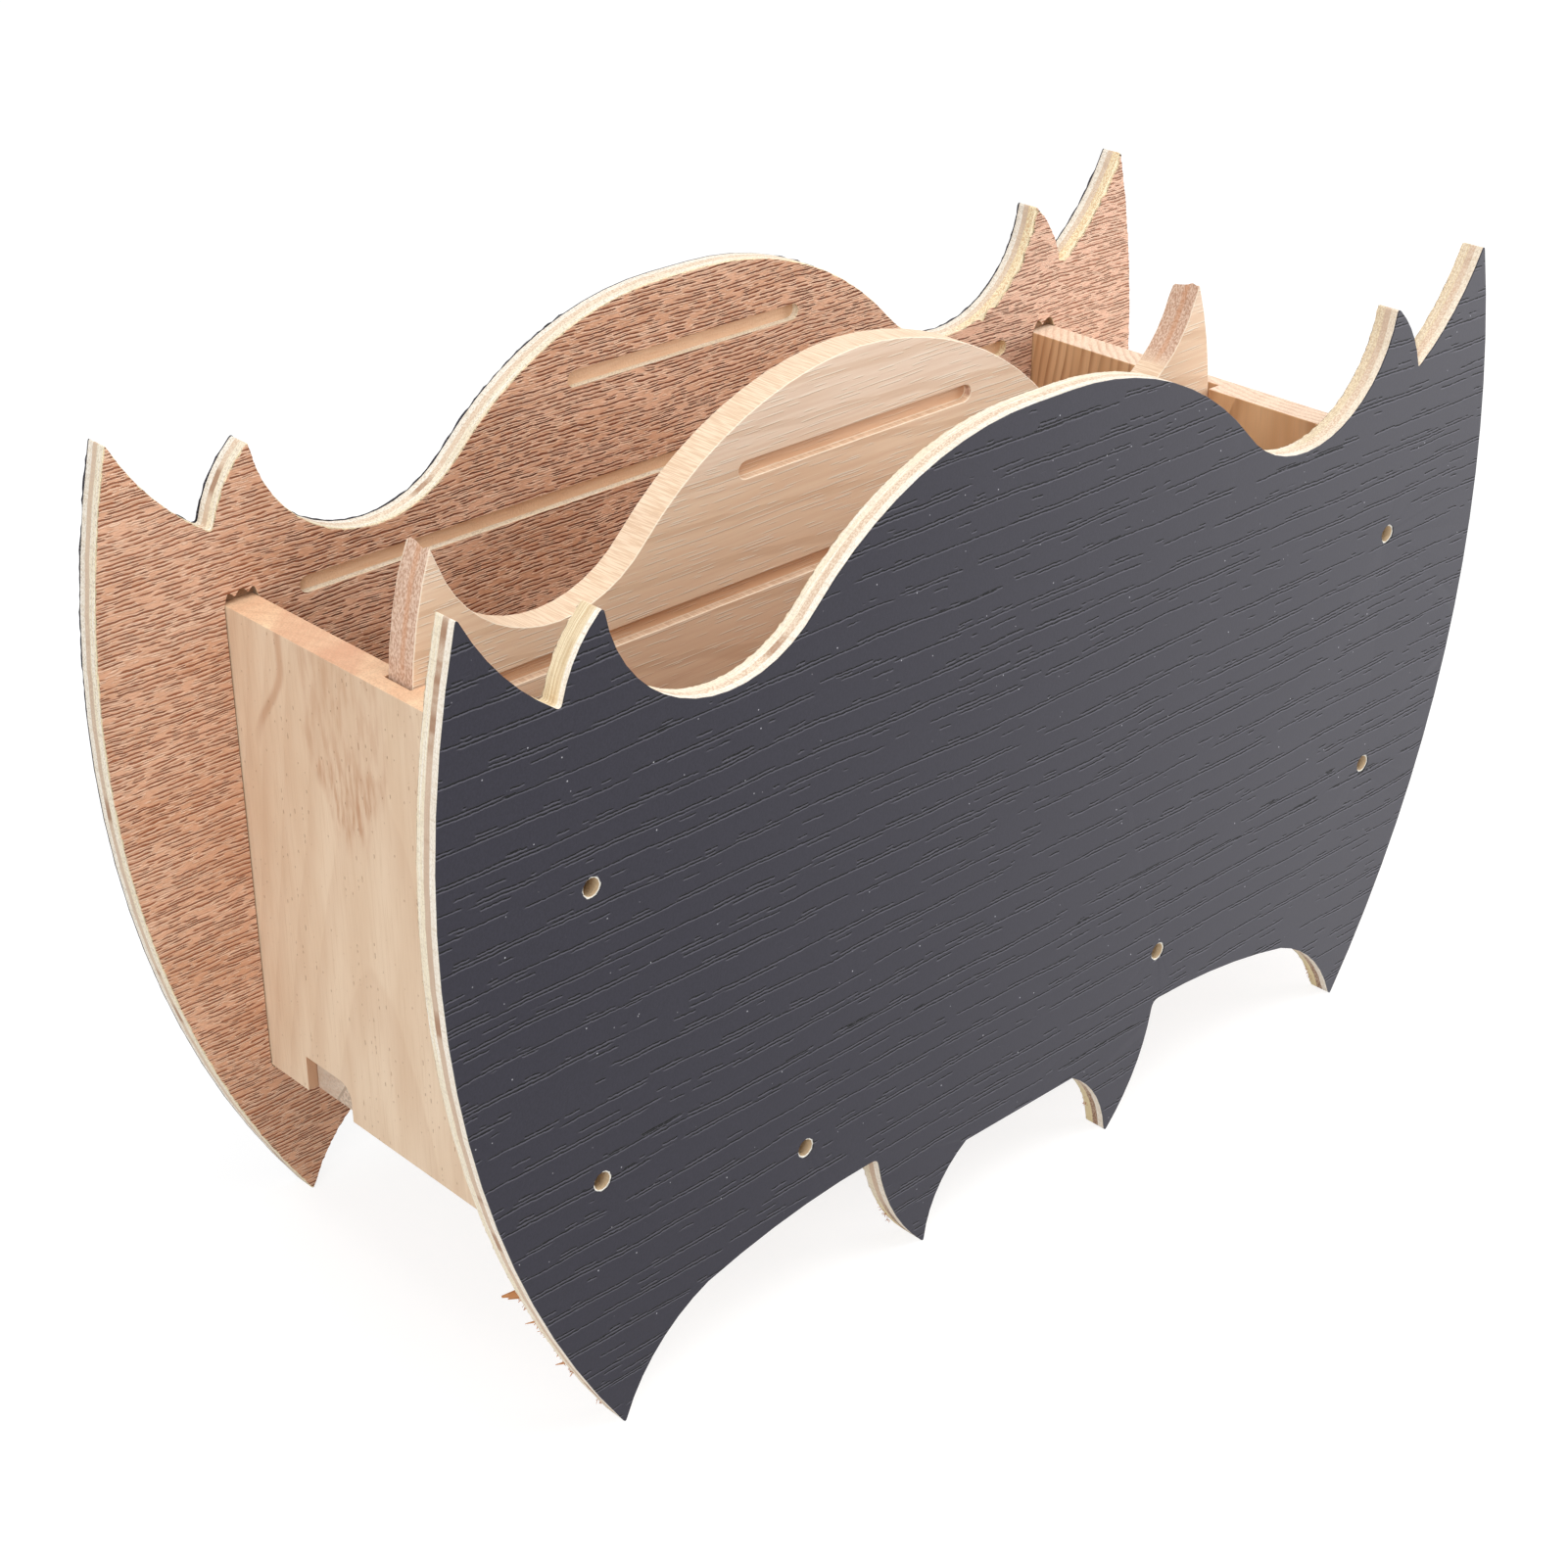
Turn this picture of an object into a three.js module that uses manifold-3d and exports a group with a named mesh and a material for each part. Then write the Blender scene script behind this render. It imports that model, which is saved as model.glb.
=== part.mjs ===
// Bat roosting box with two chambers, in millimetres.
// It stands here mouth up, on the wing and ear tips of its two bat-shaped panels.
// +Z is up, the front is towards -Y, and the origin is under the middle of the box.
// In use it hangs the other way up, with the mouth below.
import * as THREE from "three";
import { mergeVertices } from "three/addons/utils/BufferGeometryUtils.js";
import Module from "manifold-3d";

const wasm = await Module();
wasm.setup();

// Overall sizes
const panelWidth = 318.8;
const panelHeight = 194.7;
const boxDepth = 117.4;

// Panel layers, from the outer face inwards
const filmThickness = 0.3;
const plyThickness = 5.4;
const veneerThickness = 0.3;

// Fits
const fitGap = 0.3;
const cutOver = 2;
const facetHeight = 0.08;
const roundSteps = 12;
const cornerSteps = 4;

// Side walls
const wingOverhang = 31.4;
const wallThickness = 8;
const wallDrop = 43.3;
const pocketDepth = 2;
const pocketHeadroom = 1.2;
const routerRadius = 2;

// Roof board, which closes the lower end as the box stands here
const roofHeight = 38;
const roofThickness = 8.5;
const tenonWidth = 16;
const tenonSetback = 30.3;
const tenonRecess = 2.5;
const tenonHeadroom = 0.5;
const notchCornerRadius = 4;

// Roost partition between the two chambers
const partitionThickness = 8;
const partitionTopDrop = 3;
const partitionForward = 0.9;
const dadoDepth = 4;
const sidePlay = 1.8;

// Grip grooves
const grooveWidth = 4;
const grooveDepth = 2;
const groovePitch = 26.9;
const panelGrooveDrop = 17.6;
const partitionGrooveDrop = 19.2;
const shortGroove = 71;
const grooveEndMargin = 10.3;
const lowestGrooveRise = 12;

// Screw holes and screws
const holeRadius = 2;
const leftUpperHole = 129.7;
const rightUpperHole = 128;
const leftLowerHole = 62.9;
const rightLowerHole = 66;
const roofHoleRise = 5.6;
const leftRoofHole = 68.5;
const rightRoofHole = 47;
const screwLength = 20;
const screwRadius = 1.5;
const screwPoint = 4;
const headRadius = 2.8;
const headHeight = 1.6;
const headSink = 0.2;
const recessWidth = 0.9;
const recessSpan = 3.2;
const recessDepth = 1.1;

// Corner softening of the sawn outlines
const bluntTip = 1.1;
const softNotch = 1.4;
const softEarNotch = 2.2;
const sharp = 0;

// Right half of the bat outline, clockwise from the top of the hump.
// Each row is a corner: its place as shares of half the width and of the height,
// how far the corner is softened, and the rise of the arc to the next corner as a
// share of its chord, above zero where the arc swells to the left of the way there.
const panelOutlineShares = [
  { place: [0.0364, 1], soft: sharp, rise: 0.103 },
  { place: [0.4144, 0.8674], soft: sharp, rise: -0.3208 },
  { place: [0.7459, 0.9535], soft: bluntTip, rise: 0.087 },
  { place: [0.8112, 0.8664], soft: softNotch, rise: -0.068 },
  { place: [0.9486, 0.9945], soft: bluntTip, rise: 0.1067 },
  { place: [0.7547, 0], soft: bluntTip, rise: -0.1084 },
  { place: [0.607, 0.1235], soft: sharp, rise: -0.0344 },
  { place: [0.2913, 0.1567], soft: softEarNotch, rise: 0.085 },
  { place: [0.1964, 0], soft: bluntTip, rise: -0.12 },
  { place: [0.1135, 0.1106], soft: sharp, rise: 0 },
];

// Right half of the partition's outline, from the top of its hump to its foot
const partitionOutlineShares = [
  { place: [0, 1], soft: sharp, rise: 0.1005 },
  { place: [0.5065, 0.8101], soft: sharp, rise: -0.315 },
  { place: [0.943, 0.9206], soft: bluntTip, rise: 0.047 },
  { place: [1, 0.651], soft: sharp, rise: 0 },
  { place: [1, 0], soft: sharp, rise: 0 },
];

// Places that follow from the sizes
const outerFace = boxDepth / 2;
const filmBack = outerFace - filmThickness;
const veneerBack = filmBack - plyThickness;
const halfBetween = veneerBack - veneerThickness;
const pocketFloor = halfBetween + pocketDepth;
const wallOuter = panelWidth / 2 - wingOverhang;
const wallInner = wallOuter - wallThickness;
const wallMiddle = wallOuter - wallThickness / 2;
const wallTop = panelHeight - wallDrop;
const roofTop = roofHeight + roofThickness;
const roofHoleHeight = roofHeight + roofHoleRise;
const partitionFoot = roofTop + fitGap;
const partitionHeight = panelHeight - partitionTopDrop - partitionFoot;
const partitionHalfWidth = wallInner + dadoDepth - sidePlay;
const partitionShift = fitGap - sidePlay;
const partitionFront = -partitionForward - partitionThickness / 2;
const partitionBack = partitionFront + partitionThickness;
const tenonReach = wallOuter - tenonRecess;
const headSlope = (headRadius - screwRadius) / headHeight;
const seatMouth = headRadius + fitGap + headSink * headSlope;
const pilotRadius = screwRadius + fitGap;
const pilotEnd = outerFace - screwLength - fitGap;
// Screw places on a panel, as seen by someone who faces it
const screwSpots = [
  { name: "left_upper", x: -wallMiddle, z: leftUpperHole },
  { name: "right_upper", x: wallMiddle, z: rightUpperHole },
  { name: "left_lower", x: -wallMiddle, z: leftLowerHole },
  { name: "right_lower", x: wallMiddle, z: rightLowerHole },
  { name: "left_roof", x: -leftRoofHole, z: roofHoleHeight },
  { name: "right_roof", x: rightRoofHole, z: roofHoleHeight },
];

// Finishes
const finish = (color, roughness, metalness = 0) =>
  new THREE.MeshStandardMaterial({ color, roughness, metalness });
const blackFilm = finish(0x45454a, 0.5);
const plyEdge = finish(0xe3cfae, 0.75);
const redVeneer = finish(0xb98466, 0.85);
const pine = finish(0xdcc3a2, 0.7);
const beech = finish(0xe6caa6, 0.65);
const zincSteel = finish(0xb8bcc0, 0.35, 0.9);

// An arc between two points, given its rise as a share of the chord
function arcBetween(start, end, riseShare) {
  if (riseShare === 0) return new THREE.LineCurve(start, end);
  const chord = end.clone().sub(start);
  const rise = riseShare * chord.length();
  const radius = (chord.lengthSq() / 4 + rise * rise) / (2 * rise);
  const left = new THREE.Vector2(-chord.y, chord.x).normalize();
  const middle = start.clone().add(end).multiplyScalar(0.5);
  const centre = middle.add(left.multiplyScalar(rise - radius));
  const angleOf = (p) => Math.atan2(p.y - centre.y, p.x - centre.x);
  const size = Math.abs(radius);
  const clockwise = rise > 0;
  return new THREE.EllipseCurve(
    centre.x, centre.y, size, size, angleOf(start), angleOf(end), clockwise,
  );
}

// How many straight facets keep a curve within the facet height
function facetCount(curve) {
  if (curve.isLineCurve) return 1;
  const step = 2 * Math.acos(1 - Math.min(1, facetHeight / curve.xRadius));
  return Math.max(2, Math.ceil(curve.getLength() / curve.xRadius / step));
}

// Points of a half outline whose corners are softened by short curves
function halfOutline(rows, halfWidth, height) {
  const corners = rows.map(
    ({ place }) => new THREE.Vector2(place[0] * halfWidth, place[1] * height),
  );
  const points = [];
  let arrived = corners[0];
  for (let i = 0; i < rows.length - 1; i++) {
    const curve = arcBetween(corners[i], corners[i + 1], rows[i].rise);
    const length = curve.getLength();
    const from = rows[i].soft / length;
    const to = 1 - rows[i + 1].soft / length;
    const count = facetCount(curve);
    if (rows[i].soft > 0) {
      const leaving = curve.getPointAt(from);
      const bend = new THREE.QuadraticBezierCurve(arrived, corners[i], leaving);
      points.push(...bend.getPoints(cornerSteps).slice(1, -1));
    }
    for (let k = 0; k < count; k++) {
      points.push(curve.getPointAt(from + ((to - from) * k) / count));
    }
    arrived = curve.getPointAt(to);
    if (rows[i + 1].soft > 0) points.push(arrived);
  }
  points.push(corners[rows.length - 1]);
  return points;
}

// The whole outline, closed by its own mirror image, with its lowest point at zero
function mirroredOutline(rows, halfWidth, height) {
  const right = halfOutline(rows, halfWidth, height);
  const left = right
    .filter((p) => p.x > 0)
    .map((p) => new THREE.Vector2(-p.x, p.y))
    .reverse();
  const all = [...right, ...left];
  const lowest = Math.min(...all.map((p) => p.y));
  return all.map((p) => new THREE.Vector2(p.x, p.y - lowest));
}

// Closed paths for holes and recesses, in the plane of the panels
function roundPath(x, z, radius) {
  const circle = new THREE.EllipseCurve(x, z, radius, radius, 0, 2 * Math.PI);
  return new THREE.Path(circle.getPoints(roundSteps).slice(1));
}

function roundedBox(left, right, bottom, top, radius) {
  const path = new THREE.Shape();
  const quarter = Math.PI / 2;
  path.absarc(right - radius, top - radius, radius, 0, quarter, false);
  path.absarc(left + radius, top - radius, radius, quarter, 2 * quarter, false);
  path.absarc(left + radius, bottom + radius, radius, 2 * quarter, 3 * quarter, false);
  path.absarc(right - radius, bottom + radius, radius, 3 * quarter, 4 * quarter, false);
  return path;
}

function slotBetween(left, right, z, radius) {
  const slot = new THREE.Shape();
  slot.absarc(right - radius, z, radius, -Math.PI / 2, Math.PI / 2, false);
  slot.absarc(left + radius, z, radius, Math.PI / 2, (3 * Math.PI) / 2, false);
  return slot;
}

function squareBox(left, right, bottom, top) {
  return new THREE.Shape([
    new THREE.Vector2(left, bottom),
    new THREE.Vector2(right, bottom),
    new THREE.Vector2(right, top),
    new THREE.Vector2(left, top),
  ]);
}

// A plate that stands in the XZ plane and fills y from near to far
function plate(shape, near, far) {
  const geometry = new THREE.ExtrudeGeometry(shape, {
    depth: 1,
    bevelEnabled: false,
    curveSegments: roundSteps / 4,
  });
  const position = geometry.getAttribute("position");
  for (let i = 0; i < position.count; i++) {
    const y = position.getZ(i) === 0 ? far : near;
    position.setXYZ(i, position.getX(i), y, position.getY(i));
  }
  return geometry;
}

// Joins and cuts
function solid(geometry) {
  const bare = new THREE.BufferGeometry();
  bare.setAttribute("position", geometry.getAttribute("position"));
  if (geometry.index) bare.setIndex(geometry.index);
  const merged = mergeVertices(bare);
  const corners = merged.index.array;
  const triVerts = [];
  for (let i = 0; i < corners.length; i += 3) {
    const [a, b, c] = corners.slice(i, i + 3);
    if (a !== b && b !== c && c !== a) triVerts.push(a, b, c);
  }
  return new wasm.Manifold(
    new wasm.Mesh({
      numProp: 3,
      vertProperties: merged.getAttribute("position").array,
      triVerts: new Uint32Array(triVerts),
    }),
  );
}

function cut(geometry, cutters) {
  const left = cutters.reduce((body, cutter) => body.subtract(solid(cutter)), solid(geometry));
  const { vertProperties, triVerts } = left.getMesh();
  const made = new THREE.BufferGeometry();
  made.setAttribute("position", new THREE.BufferAttribute(vertProperties, 3));
  made.setIndex(new THREE.BufferAttribute(triVerts, 1));
  const flat = made.toNonIndexed();
  flat.computeVertexNormals();
  return flat;
}

// A round cutter along Y from one place to another
function borer(x, z, radius, near, far) {
  const bore = new THREE.CylinderGeometry(radius, radius, far - near, roundSteps);
  return bore.translate(x, (near + far) / 2, z);
}

// Pilot holes behind the screw places of both panels
function pilotBores() {
  return screwSpots.flatMap(({ x, z }) => [
    borer(x, z, pilotRadius, -outerFace, -pilotEnd),
    borer(-x, z, pilotRadius, pilotEnd, outerFace),
  ]);
}

// Heights of a column of grooves, from the top one down
function grooveHeights(top) {
  const heights = [];
  for (let z = top; z > roofTop + lowestGrooveRise; z -= groovePitch) heights.push(z);
  return heights;
}

// Outlines of the grooves, the top one short to fit the hump
function grooveShapes(top, longHalf) {
  return grooveHeights(top).map((z, row) => {
    const half = row === 0 ? shortGroove / 2 : longHalf;
    return slotBetween(-half, half, z, grooveWidth / 2);
  });
}

const batPoints = mirroredOutline(panelOutlineShares, panelWidth / 2, panelHeight);
const panelGrooves = grooveShapes(panelHeight - panelGrooveDrop, wallInner - grooveEndMargin);
const wallPockets = [-1, 1].map((side) =>
  roundedBox(
    Math.min(side * wallInner, side * wallOuter) - fitGap,
    Math.max(side * wallInner, side * wallOuter) + fitGap,
    roofHeight - pocketHeadroom,
    wallTop + pocketHeadroom,
    routerRadius,
  ),
);

// One layer of a panel, with its screw holes and any openings right through it
function layer(near, far, openings) {
  const shape = new THREE.Shape(batPoints);
  shape.holes.push(...openings);
  return plate(shape, near, far);
}

const roundHoles = (radius) => screwSpots.map(({ x, z }) => roundPath(x, z, radius));

// The cone that a screw head needs, parallel to the head with the gap around it
function headSeat(x, z) {
  const depth = (seatMouth - holeRadius) / headSlope;
  const profile = [
    new THREE.Vector2(0, -cutOver),
    new THREE.Vector2(seatMouth, -cutOver),
    new THREE.Vector2(seatMouth, 0),
    new THREE.Vector2(holeRadius, depth),
    new THREE.Vector2(0, depth),
  ];
  return new THREE.LatheGeometry(profile, roundSteps).translate(x, -outerFace, z);
}

// One bat panel as the front one stands, in three bonded layers
function batPanel(side, seated) {
  const group = new THREE.Group();
  const seats = seated ? screwSpots.map(({ x, z }) => headSeat(x, z)) : [];
  const recesses = [...wallPockets, ...panelGrooves];
  const depths = [...wallPockets.map(() => pocketDepth), ...panelGrooves.map(() => grooveDepth)];
  const routed = recesses.map((shape, i) =>
    plate(shape, -halfBetween - depths[i], -halfBetween + cutOver),
  );
  const film = layer(-outerFace, -filmBack, roundHoles(seated ? seatMouth : holeRadius));
  const ply = cut(layer(-filmBack, -veneerBack, roundHoles(holeRadius)), [...seats, ...routed]);
  const veneer = cut(layer(-veneerBack, -halfBetween, roundHoles(holeRadius)), routed);
  group.add(named(`${side}_panel_film`, film, blackFilm));
  group.add(named(`${side}_panel_ply`, ply, plyEdge));
  group.add(named(`${side}_panel_veneer`, veneer, redVeneer));
  return group;
}

// A side wall with its dado, roof notches and pilot holes
function sideWall(side) {
  const face = (x) => side * x;
  const spread = (a, b) => [Math.min(a, b), Math.max(a, b)];
  const [left, right] = spread(face(wallInner), face(wallOuter));
  const block = plate(squareBox(left, right, roofHeight, wallTop), -pocketFloor, pocketFloor);
  const [dadoLeft, dadoRight] = spread(face(wallInner - cutOver), face(wallInner + dadoDepth));
  const dado = plate(
    squareBox(dadoLeft, dadoRight, roofTop, wallTop + cutOver),
    partitionFront - fitGap,
    partitionBack + fitGap,
  );
  const notches = [-1, 1].map((end) => notchCutter(end).translate(face(wallMiddle), 0, 0));
  return cut(block, [dado, ...notches, ...pilotBores()]);
}

// The notch that a roof tenon passes through, its inner corner round from the cutter
function notchCutter(end) {
  const half = tenonWidth / 2 + fitGap;
  const depth = roofThickness + tenonHeadroom;
  const shape = new THREE.Shape();
  shape.moveTo(half, -cutOver);
  shape.lineTo(half, depth);
  shape.lineTo(notchCornerRadius - half, depth);
  shape.absarc(
    notchCornerRadius - half, depth - notchCornerRadius, notchCornerRadius,
    Math.PI / 2, Math.PI, false,
  );
  shape.lineTo(-half, -cutOver);
  return throughWall(shape, end, wallThickness + 2 * cutOver);
}

// Extrudes a shape along X, centred on x = 0, at the tenons nearer one end of the walls.
// The shape's first axis points towards that end, and its second one up from the roof's face.
function throughWall(shape, end, length) {
  const geometry = new THREE.ExtrudeGeometry(shape, {
    depth: length,
    bevelEnabled: false,
    curveSegments: roundSteps / 2,
  });
  const turned = new THREE.Matrix4().set(0, 0, end, 0, end, 0, 0, 0, 0, 1, 0, 0, 0, 0, 0, 1);
  geometry.translate(0, 0, -length / 2).applyMatrix4(turned);
  return geometry.translate(0, end * tenonSetback, roofHeight);
}

// The roof board with two through tenons at each end, softened as its notches are
function roofBoard() {
  const half = tenonWidth / 2;
  const corners = [];
  const step = (x, y) => corners.push(new THREE.Vector2(x, y));
  step(-wallInner, -halfBetween);
  step(wallInner, -halfBetween);
  for (const y of [-tenonSetback, tenonSetback]) {
    step(wallInner, y - half);
    step(tenonReach, y - half);
    step(tenonReach, y + half);
    step(wallInner, y + half);
  }
  step(wallInner, halfBetween);
  step(-wallInner, halfBetween);
  for (const y of [tenonSetback, -tenonSetback]) {
    step(-wallInner, y + half);
    step(-tenonReach, y + half);
    step(-tenonReach, y - half);
    step(-wallInner, y - half);
  }
  const board = new THREE.ExtrudeGeometry(new THREE.Shape(corners), {
    depth: roofThickness,
    bevelEnabled: false,
  }).translate(0, 0, roofHeight);
  return cut(board, [...tenonCorners(), ...pilotBores()]);
}

// What the round notch corners take off the tenons
function tenonCorners() {
  const half = tenonWidth / 2;
  const shoulder = roofThickness - notchCornerRadius;
  const middle = notchCornerRadius - half;
  const shape = new THREE.Shape();
  shape.moveTo(-half - cutOver, roofThickness + cutOver);
  shape.lineTo(-half - cutOver, shoulder);
  shape.lineTo(-half, shoulder);
  shape.absarc(middle, shoulder, notchCornerRadius, Math.PI, Math.PI / 2, true);
  shape.lineTo(middle, roofThickness + cutOver);
  const length = tenonReach - wallInner + cutOver;
  const place = wallInner + length / 2;
  return [-1, 1].flatMap((end) =>
    [-place, place].map((x) => throughWall(shape, end, length).translate(x, 0, 0)),
  );
}

// The partition, whose hump and horns echo the panels
function roostPartition() {
  const points = mirroredOutline(partitionOutlineShares, partitionHalfWidth, partitionHeight);
  const board = plate(new THREE.Shape(points), partitionFront, partitionBack);
  const top = partitionHeight - partitionGrooveDrop;
  const grooves = grooveShapes(top + partitionFoot, wallInner - grooveEndMargin).map((shape) =>
    plate(shape, partitionFront - cutOver, partitionFront + grooveDepth).translate(
      0, 0, -partitionFoot,
    ),
  );
  return cut(board, grooves);
}

// A countersunk wood screw that points inwards from the outer face
function woodScrew() {
  const profile = [
    new THREE.Vector2(0, headSink),
    new THREE.Vector2(headRadius, headSink),
    new THREE.Vector2(screwRadius, headSink + headHeight),
    new THREE.Vector2(screwRadius, screwLength - screwPoint),
    new THREE.Vector2(0, screwLength),
  ];
  const blank = new THREE.LatheGeometry(profile, roundSteps);
  const deep = headSink + recessDepth + cutOver;
  const slots = [
    new THREE.BoxGeometry(recessSpan, deep, recessWidth),
    new THREE.BoxGeometry(recessWidth, deep, recessSpan),
  ].map((slot) => slot.translate(0, headSink + recessDepth - deep / 2, 0));
  return cut(blank, slots).translate(0, -outerFace, 0);
}

function named(name, geometry, material) {
  const mesh = new THREE.Mesh(geometry, material);
  mesh.name = name;
  return mesh;
}

// Assembly
const group = new THREE.Group();
group.add(batPanel("front", false));

const back = batPanel("back", true);
for (const { name, x, z } of screwSpots) {
  const screw = named(`back_screw_${name}`, woodScrew(), zincSteel);
  screw.position.set(x, 0, z);
  back.add(screw);
}
// The back panel is the front one turned half round about the upright axis
back.scale.set(-1, -1, 1);
group.add(back);

group.add(named("left_side_wall", sideWall(-1), pine));
group.add(named("right_side_wall", sideWall(1), pine));
group.add(named("roof_board", roofBoard(), pine));

const partition = named("roost_partition", roostPartition(), beech);
partition.position.set(partitionShift, 0, partitionFoot);
group.add(partition);

export default group;
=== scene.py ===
# %% [markdown]
# # A bat box of plywood, pine and beech
# The real object is a roosting box that hangs on a wall with its mouth down. Here it stands
# upside down, mouth up, on the wing and ear tips of two bat-shaped plywood panels. Between
# them are two pine side walls, a roof board, and a grooved partition that makes two chambers.
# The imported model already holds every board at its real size. This lesson gives each board
# the eased and torn edges that a saw and a router leave, and then its wood or film finish.

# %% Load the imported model
import math
import random

import bmesh
import bpy
from mathutils import Matrix, Vector, noise


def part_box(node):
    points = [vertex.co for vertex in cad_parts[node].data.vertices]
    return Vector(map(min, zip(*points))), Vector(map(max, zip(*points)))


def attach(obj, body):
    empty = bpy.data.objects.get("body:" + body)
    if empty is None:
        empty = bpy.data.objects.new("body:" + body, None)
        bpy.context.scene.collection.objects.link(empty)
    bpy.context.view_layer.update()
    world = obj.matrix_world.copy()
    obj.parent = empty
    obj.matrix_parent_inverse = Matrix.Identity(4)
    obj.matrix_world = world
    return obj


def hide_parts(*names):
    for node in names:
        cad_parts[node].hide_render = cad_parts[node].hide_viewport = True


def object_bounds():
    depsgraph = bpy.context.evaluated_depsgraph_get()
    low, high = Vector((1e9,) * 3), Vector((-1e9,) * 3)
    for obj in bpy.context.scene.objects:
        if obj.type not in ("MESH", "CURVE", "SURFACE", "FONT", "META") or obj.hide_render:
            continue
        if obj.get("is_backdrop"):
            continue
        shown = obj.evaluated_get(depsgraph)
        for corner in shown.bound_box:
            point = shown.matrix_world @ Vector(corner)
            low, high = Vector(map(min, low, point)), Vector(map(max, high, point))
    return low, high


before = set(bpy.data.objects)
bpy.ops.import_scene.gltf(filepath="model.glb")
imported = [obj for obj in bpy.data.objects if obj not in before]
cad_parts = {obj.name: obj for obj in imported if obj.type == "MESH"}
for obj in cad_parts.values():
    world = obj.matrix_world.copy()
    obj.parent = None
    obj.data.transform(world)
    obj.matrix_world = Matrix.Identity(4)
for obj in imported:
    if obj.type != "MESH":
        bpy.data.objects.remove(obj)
cad_low, cad_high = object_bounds()
mm = 0.001
print("box size in mm:", [round(side / mm, 1) for side in cad_high - cad_low])

# %% [markdown]
# ## The camera
# A view is fixed by where the lens is, where it points and how long it is. The lens stands
# left of the box and above it, 0.7 metres away, and looks down at it. The focal length is
# worked out from a picture 1601 pixels wide, so the sensor's own width cancels out.

# %% Place the camera
camera_place = Vector((-408.4, -410.2, 392.9)) * mm
camera_target = Vector((16.3, 37.5, 62.5)) * mm
picture_side = 1601
focal_pixels = 2872.7

camera = bpy.data.objects.new("camera", bpy.data.cameras.new("camera"))
bpy.context.scene.collection.objects.link(camera)
bpy.context.scene.camera = camera
camera.data.sensor_width = 36
camera.data.lens = focal_pixels / picture_side * camera.data.sensor_width
camera.data.clip_start = 10 * mm
camera.data.clip_end = 100
camera.location = camera_place
camera.rotation_mode = "QUATERNION"
camera.rotation_quaternion = (camera_target - camera_place).to_track_quat("-Z", "Y")
print("lens in mm:", round(camera.data.lens, 2))

# %% [markdown]
# ## Writing a material as arithmetic
# A pattern such as wood grain is a sum: where the point is, a little noise, a threshold.
# Adding those nodes one by one hides the sum, so a small class wraps one output socket and
# lets Python's own operators add the Math nodes. Everything that isn't arithmetic comes
# from the one method called node.


# %% A wire is one output socket
class Wire:
    """A number, vector or colour that varies over a surface."""

    def __init__(self, finish, socket):
        self.finish = finish
        self.socket = socket

    def __add__(self, other):
        return self.finish.maths("ADD", self, other)

    def __radd__(self, other):
        return self.finish.maths("ADD", other, self)

    def __sub__(self, other):
        return self.finish.maths("SUBTRACT", self, other)

    def __rsub__(self, other):
        return self.finish.maths("SUBTRACT", other, self)

    def __mul__(self, other):
        return self.finish.maths("MULTIPLY", self, other)

    def __rmul__(self, other):
        return self.finish.maths("MULTIPLY", other, self)

    def __truediv__(self, other):
        return self.finish.maths("DIVIDE", self, other)

    def __abs__(self):
        return self.finish.maths("ABSOLUTE", self)

    def floor(self):
        return self.finish.maths("FLOOR", self)

    def most(self, other):
        return self.finish.maths("MAXIMUM", self, other)


# %% [markdown]
# A finish starts with the place of each point in millimetres, because grain and pores are
# easier to think of in millimetres than in metres. It also knows which way the surface
# faces, so that a board's cut ends can show end grain.


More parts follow.
